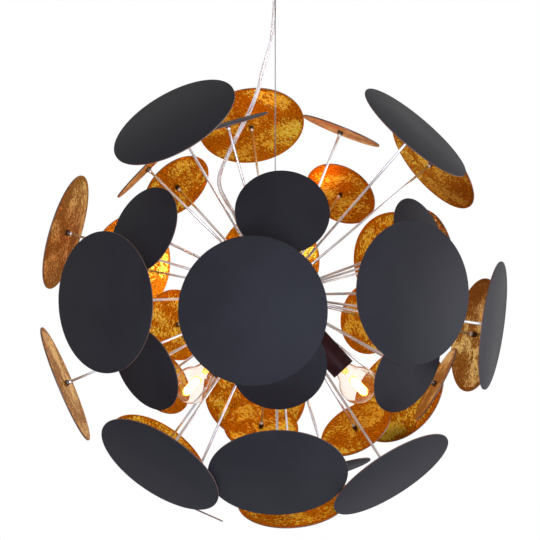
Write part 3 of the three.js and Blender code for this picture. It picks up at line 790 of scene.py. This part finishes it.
def hang_disc(model, node, turn):
    """A copy of a disc in its node's place, with its stem cut to length and its leaf laid its own way."""
    way = axis_of(node)
    reach = max((corner.co - hub_middle).dot(way) for corner in frame["nodes"][node].data.vertices) - PLATE
    disc = add("gilt_" + node, model.data.copy())
    leaf = disc.data.uv_layers.new(name="leaf")
    lie = Matrix.Rotation(turn * LEAF_TURN, 2)
    for corner, uv in zip(disc.data.loops, leaf.data):
        uv.uv = lie @ (disc.data.vertices[corner.vertex_index].co.xy * LEAF_SCALE) + LEAF_SHIFT * turn
    # Painted sheen: a disc that faces sideways to the camera gets paler leaf and darker lacquer.
    tarnish_and_sheen = disc.data.attributes.new("tarnish_and_sheen", "FLOAT", "POINT")
    share = min(max((abs(way.x) - SIDE_START) / SIDE_BLEND, 0), 1)
    tarnish_and_sheen.data.foreach_set("value", [share] * len(tarnish_and_sheen.data))
    spare = STEM_REACH - (reach - (HUB_RADIUS - STEM_IN_HUB))
    for corner in disc.data.vertices:
        if corner.co.z < -STEM_REACH / 2:
            corner.co.z += spare
        corner.co.z += reach
    put(disc, from_hub(way))
    mount(disc, "pendant", "disc_metal", node)


disc_finishes = (black_paint, gold_leaf(), blackened_nut(), bright, brown_edge())
for size, disc_radius in DISC_RADII.items():
    model = disc_model(f"{size}_disc_model", disc_radius, disc_finishes)
    members = sorted(node for node in frame["nodes"] if node.startswith(f"{size}_disc_"))
    for turn, node in enumerate(members, 1):
        hang_disc(model, node, turn)
    bpy.data.objects.remove(model)


# Lampholders
# A drawn steel sleeve in dark brown enamel, open at its mouth, on a tube nipple that screws into the hub.
# A porcelain socket sits inside and takes the bulb's screw cap.
NIPPLE_RADIUS = 0.005
NIPPLE_BORE = 0.003
SLEEVE_RADIUS = 0.015
SLEEVE_BORE = 0.0138
SLEEVE_START = 0.060
SLEEVE_END = 0.122
SLEEVE_FLOOR = SLEEVE_START + 0.0024
SLEEVE_FILLET = 0.0016
SLEEVE_LIP = 0.0006
SOCKET_RADIUS = 0.0101
SOCKET_FLOOR = 0.0917
SOCKET_MOUTH = 0.107
SOCKET_BORE = 0.0074


def brown_enamel():
    material, nodes, links, shader = new_material("dark_brown_enamel")
    where = nodes.new("ShaderNodeTexCoord").outputs["Object"]
    flow = noise(nodes, links, where, 55, 3)
    grain = noise(nodes, links, where, 900, 2)
    vary(nodes, links, flow, shader.inputs["Base Color"], (0.022, 0.006, 0.006), (0.034, 0.010, 0.009))
    vary(nodes, links, flow, shader.inputs["Roughness"], grey(0.38), grey(0.48))
    shader.inputs["Specular IOR Level"].default_value = 0.05
    bump(nodes, links, grain, 0.2, 0.0002, shader)
    return material


def porcelain():
    material, nodes, links, shader = new_material("glazed_porcelain")
    where = nodes.new("ShaderNodeTexCoord").outputs["Object"]
    fleck = noise(nodes, links, where, 200, 3)
    vary(nodes, links, fleck, shader.inputs["Base Color"], (0.74, 0.71, 0.64), (0.82, 0.80, 0.75))
    shader.inputs["Roughness"].default_value = 0.22
    return material


def fit_copy(model, name, direction, body, slot, *nodes):
    """A copy of a model made along +Z, stood on the hub in a direction."""
    copy = add(name, model.data.copy())
    put(copy, from_hub(direction))
    mount(copy, body, slot, *nodes)


sleeve_model = turned("sleeve_model", [
    (0, 0.0303), (NIPPLE_RADIUS, 0.0303), (NIPPLE_RADIUS, 0.0380), (0.0085, 0.0382), (0.0087, 0.0386),
    (0.0087, 0.0405), (0.0085, 0.0409), (NIPPLE_RADIUS, 0.0411), (NIPPLE_RADIUS, SLEEVE_START - 0.0002),
    *arc(SLEEVE_RADIUS - SLEEVE_FILLET, SLEEVE_START + SLEEVE_FILLET, SLEEVE_FILLET, -90, 0, 6),
    (SLEEVE_RADIUS, SLEEVE_END - 0.0004),
    *arc((SLEEVE_RADIUS + SLEEVE_BORE) / 2, SLEEVE_END - SLEEVE_LIP, SLEEVE_LIP, 0, 180, 6),
    (SLEEVE_BORE, SLEEVE_FLOOR), (NIPPLE_BORE, SLEEVE_FLOOR), (NIPPLE_BORE, 0.0312), (0, 0.0312),
], brown_enamel(), 72)
socket_model = turned("socket_model", [
    (NIPPLE_BORE, SLEEVE_FLOOR), (0.0095, SLEEVE_FLOOR), (SOCKET_RADIUS, SLEEVE_FLOOR + 0.0006),
    (SOCKET_RADIUS, SOCKET_MOUTH - 0.0008), (0.0093, SOCKET_MOUTH), (SOCKET_BORE + 0.0004, SOCKET_MOUTH),
    (SOCKET_BORE, SOCKET_MOUTH - 0.0004), (SOCKET_BORE, SOCKET_FLOOR), (NIPPLE_BORE, SOCKET_FLOOR),
    (NIPPLE_BORE, SLEEVE_FLOOR),
], porcelain(), 48)
for node in sorted(node for node in frame["nodes"] if node.startswith("lampholder_")):
    spot = node.removeprefix("lampholder_")
    way = axis_of(node)
    fit_copy(sleeve_model, f"sleeve_{spot}", way, "pendant", "brown_enamel", node)
    fit_copy(socket_model, f"socket_{spot}", way, "pendant", "brown_enamel")
for model in (sleeve_model, socket_model):
    bpy.data.objects.remove(model)


# Bulbs
# A clear blown golf-ball bulb on a small screw cap. A slim quartz capsule inside it holds the burner,
# and hangs on two wires from a pinched glass stem. The burner is the lamp; the glow of the capsule, of the
# stem and, faintly, of the globe is painted light.
BULB_RADIUS = 0.0225
BULB_MIDDLE = 0.1475
GLOBE_START = -52       # degrees, where the neck runs into the globe
GLASS_WALL = 0.0007
CAP_RADIUS = 0.0068
CAP_START = 0.0920
CAP_END = 0.1119
THREAD_TURNS = 5
THREAD_ROOT = 0.0061
THREAD_START = 0.0965
THREAD_PITCH = 0.0028
CAPSULE_RADIUS = 0.0054
CAPSULE_START = 0.1345
CAPSULE_END = 0.1635
BURNER_RADIUS = 0.0041
SUPPORT_RADIUS = 0.0004
SUPPORT_OFFSET = 0.0014
SUPPORT_FOOT = 0.1200


def blown_glass():
    material, nodes, links, shader = new_material("clear_blown_glass")
    where = nodes.new("ShaderNodeTexCoord").outputs["Object"]
    ripple = noise(nodes, links, where, 60, 2)
    vary(nodes, links, ripple, shader.inputs["Base Color"], (1.0, 0.93, 0.86), (1.0, 0.98, 0.95))
    shader.inputs["Roughness"].default_value = 0.02
    shader.inputs["IOR"].default_value = 1.22
    shader.inputs["Transmission Weight"].default_value = 1
    # A faint orange glow is painted into the globe's glass, as if the burner lit it.
    shader.inputs["Emission Color"].default_value = (1.0, 0.34, 0.06, 1)
    shader.inputs["Emission Strength"].default_value = 0.015
    bump(nodes, links, ripple, 0.06, 0.0006, shader)
    see_through = nodes.new("ShaderNodeBsdfTransparent")
    mix = nodes.new("ShaderNodeMixShader")
    links.new(nodes.new("ShaderNodeLightPath").outputs["Is Shadow Ray"], mix.inputs["Fac"])
    links.new(shader.outputs["BSDF"], mix.inputs[1])
    links.new(see_through.outputs["BSDF"], mix.inputs[2])
    links.new(mix.outputs["Shader"], nodes["Material Output"].inputs["Surface"])
    return material


def glowing(name, dim, strong, strength, clear):
    """A part of the bulb that glows between two colours and lets a share of the light through.
    On the glass stem and the quartz capsule the glow is painted light; the burner is the lamp.
    """
    material, nodes, links, shader = new_material(name)
    where = nodes.new("ShaderNodeTexCoord").outputs["Object"]
    heat = noise(nodes, links, where, 90, 2)
    vary(nodes, links, heat, shader.inputs["Emission Color"], dim, strong)
    shader.inputs["Emission Strength"].default_value = strength
    shader.inputs["Base Color"].default_value = (*strong, 1)
    shader.inputs["Roughness"].default_value = 0.1
    shader.inputs["IOR"].default_value = 1.15
    shader.inputs["Transmission Weight"].default_value = clear
    return material


globe_model = turned("globe_model", [
    (CAP_RADIUS - 0.0002, 0.1105), (CAP_RADIUS + 0.0001, 0.1120), (0.0079, 0.1145), (0.0094, 0.1180),
    (0.0106, 0.1215), (0.0121, 0.1258),
    *arc(0, BULB_MIDDLE, BULB_RADIUS, GLOBE_START, 90, 40)[:-1], (0, BULB_MIDDLE + BULB_RADIUS),
], blown_glass(), 72)
wall = globe_model.modifiers.new("wall", "SOLIDIFY")
wall.thickness = GLASS_WALL
wall.offset = -1
pick(globe_model)
bpy.ops.object.modifier_apply(modifier=wall.name)
bpy.ops.object.shade_smooth()

thread = []
for turn in range(THREAD_TURNS):
    foot = THREAD_START + turn * THREAD_PITCH
    thread += [(CAP_RADIUS, foot), (CAP_RADIUS, foot + 0.0005), (THREAD_ROOT, foot + 0.0012),
               (THREAD_ROOT, foot + 0.0018)]
cap_model = turned("screw_cap_model", [
    (0, CAP_START), (0.0022, CAP_START), (0.0028, 0.0928), (0.0030, 0.0940), (0.0060, 0.0952), *thread,
    (0.0066, 0.1108), (CAP_RADIUS, 0.1112), (CAP_RADIUS, CAP_END), (0.0060, CAP_END), (0, CAP_END),
], brass, 48)
# The glass stem glows with painted light, as if lit by the burner; it is no lamp.
stem_model = turned("glass_stem_model", [
    (0, CAP_END), (0.0052, CAP_END), (0.0050, 0.1180), (0.0045, 0.1225), (0.0036, 0.1260), (0.0024, 0.1285),
    (0, 0.1292),
], glowing("glass_stem_painted_glow", (0.75, 0.10, 0.01), (1.0, 0.62, 0.16), 0.8, 0.6), 32)
# The quartz capsule glows with painted light, a warm halo round the burner; the burner inside is the lamp.
capsule_model = turned("quartz_capsule_model", [
    (0, CAPSULE_START), (0.0030, CAPSULE_START), (CAPSULE_RADIUS - 0.0008, CAPSULE_START + 0.0016),
    (CAPSULE_RADIUS, CAPSULE_START + 0.0040), (CAPSULE_RADIUS, CAPSULE_END - 0.0062),
    *arc(0, CAPSULE_END - 0.0062, CAPSULE_RADIUS, 0, 75, 8)[1:], (0.0009, CAPSULE_END - 0.0002),
    (0, CAPSULE_END),
], glowing("quartz_painted_glow", (1.0, 0.40, 0.08), (1.0, 0.52, 0.16), 0.8, 0.8), 32)
burner_model = turned("burner_model", [
    (0, CAPSULE_START + 0.0020), (0.0022, CAPSULE_START + 0.0026), (BURNER_RADIUS, CAPSULE_START + 0.0060),
    (BURNER_RADIUS, CAPSULE_END - 0.0070), (0.0018, CAPSULE_END - 0.0034), (0, CAPSULE_END - 0.0028),
], glowing("white_hot_burner", (1.0, 0.66, 0.36), (1.0, 0.78, 0.50), 60, 0), 24)
for side in (-1, 1):
    support = rod(10, SUPPORT_RADIUS, CAPSULE_START + 0.0005, SUPPORT_FOOT, 0.0001)
    put(support, Matrix.Translation((side * SUPPORT_OFFSET, 0, 0)))
    support.data.materials.append(bright)
    pick(capsule_model, support)
    bpy.ops.object.join()

bulb_parts = {"screw_cap": cap_model, "glass_stem": stem_model, "quartz_capsule": capsule_model,
              "burner": burner_model}
for node in sorted(node for node in frame["nodes"] if node.startswith("bulb_")):
    spot = node.removeprefix("bulb_")
    way = axis_of("lampholder_" + spot)
    body = spot + "_bulb"
    fit_copy(globe_model, f"glass_globe_{spot}", way, body, "clear_glass", node)
    for part, model in bulb_parts.items():
        fit_copy(model, f"{part}_{spot}", way, body, "clear_glass")
for model in (globe_model, *bulb_parts.values()):
    bpy.data.objects.remove(model)


# Floor and light
# A pale floor lies well below the lamp, out of the photograph. A white surround lights the lamp from all
# sides, and two soft lamps from the front and the right. The camera, metal and glass see the surround as
# plain white.
FLOOR_DROP = 1.7
FLOOR_HALF = 3.2
SURROUND_COLOUR = (0.95, 0.97, 1.0, 1)
SURROUND_STRENGTH = 0.56
SOFTBOXES = {
    "right_softbox": {"spot": (2.0, 0.0, -0.6), "size": 1.2, "watts": 42, "colour": (0.86, 0.90, 1.0)},
    "front_softbox": {"spot": (0.2, -2.2, -0.65), "size": 0.9, "watts": 67, "colour": (0.58, 0.72, 1.0)},
}


def pale_floor_paint():
    material, nodes, links, shader = new_material("pale_floor_paint")
    where = nodes.new("ShaderNodeTexCoord").outputs["Object"]
    cloud = noise(nodes, links, where, 3, 3)
    vary(nodes, links, cloud, shader.inputs["Base Color"], grey(0.83), grey(0.86))
    shader.inputs["Roughness"].default_value = 0.7
    return material


bpy.ops.mesh.primitive_plane_add(size=2 * FLOOR_HALF, location=(0, 0, -FLOOR_DROP))
floor = bpy.context.object
floor.name = "pale_floor"
floor.data.materials.append(pale_floor_paint())

world = bpy.data.worlds.new("white_surround")
bpy.context.scene.world = world
world.use_nodes = True
nodes = world.node_tree.nodes
links = world.node_tree.links
surround = nodes["Background"]
surround.inputs["Color"].default_value = SURROUND_COLOUR
surround.inputs["Strength"].default_value = SURROUND_STRENGTH
seen = nodes.new("ShaderNodeBackground")
seen.inputs["Color"].default_value = (1, 1, 1, 1)
seen.inputs["Strength"].default_value = 1
rays = nodes.new("ShaderNodeLightPath").outputs
looks = reckoned(nodes, links, "MAXIMUM", rays["Is Camera Ray"], rays["Is Transmission Ray"])
looks = reckoned(nodes, links, "MAXIMUM", looks, rays["Is Glossy Ray"])
chosen = nodes.new("ShaderNodeMixShader")
links.new(looks, chosen.inputs["Fac"])
links.new(surround.outputs["Background"], chosen.inputs[1])
links.new(seen.outputs["Background"], chosen.inputs[2])
links.new(chosen.outputs["Shader"], nodes["World Output"].inputs["Surface"])

for name, softbox in SOFTBOXES.items():
    light_data = bpy.data.lights.new(name, "AREA")
    light_data.size = softbox["size"]
    light_data.energy = softbox["watts"]
    light_data.color = softbox["colour"]
    light = add(name, light_data)
    light.location = softbox["spot"]
    light.rotation_euler = (hub_middle - light.location).to_track_quat("-Z", "Y").to_euler()

bpy.context.scene.view_settings.view_transform = "Standard"

bpy.context.view_layer.update()
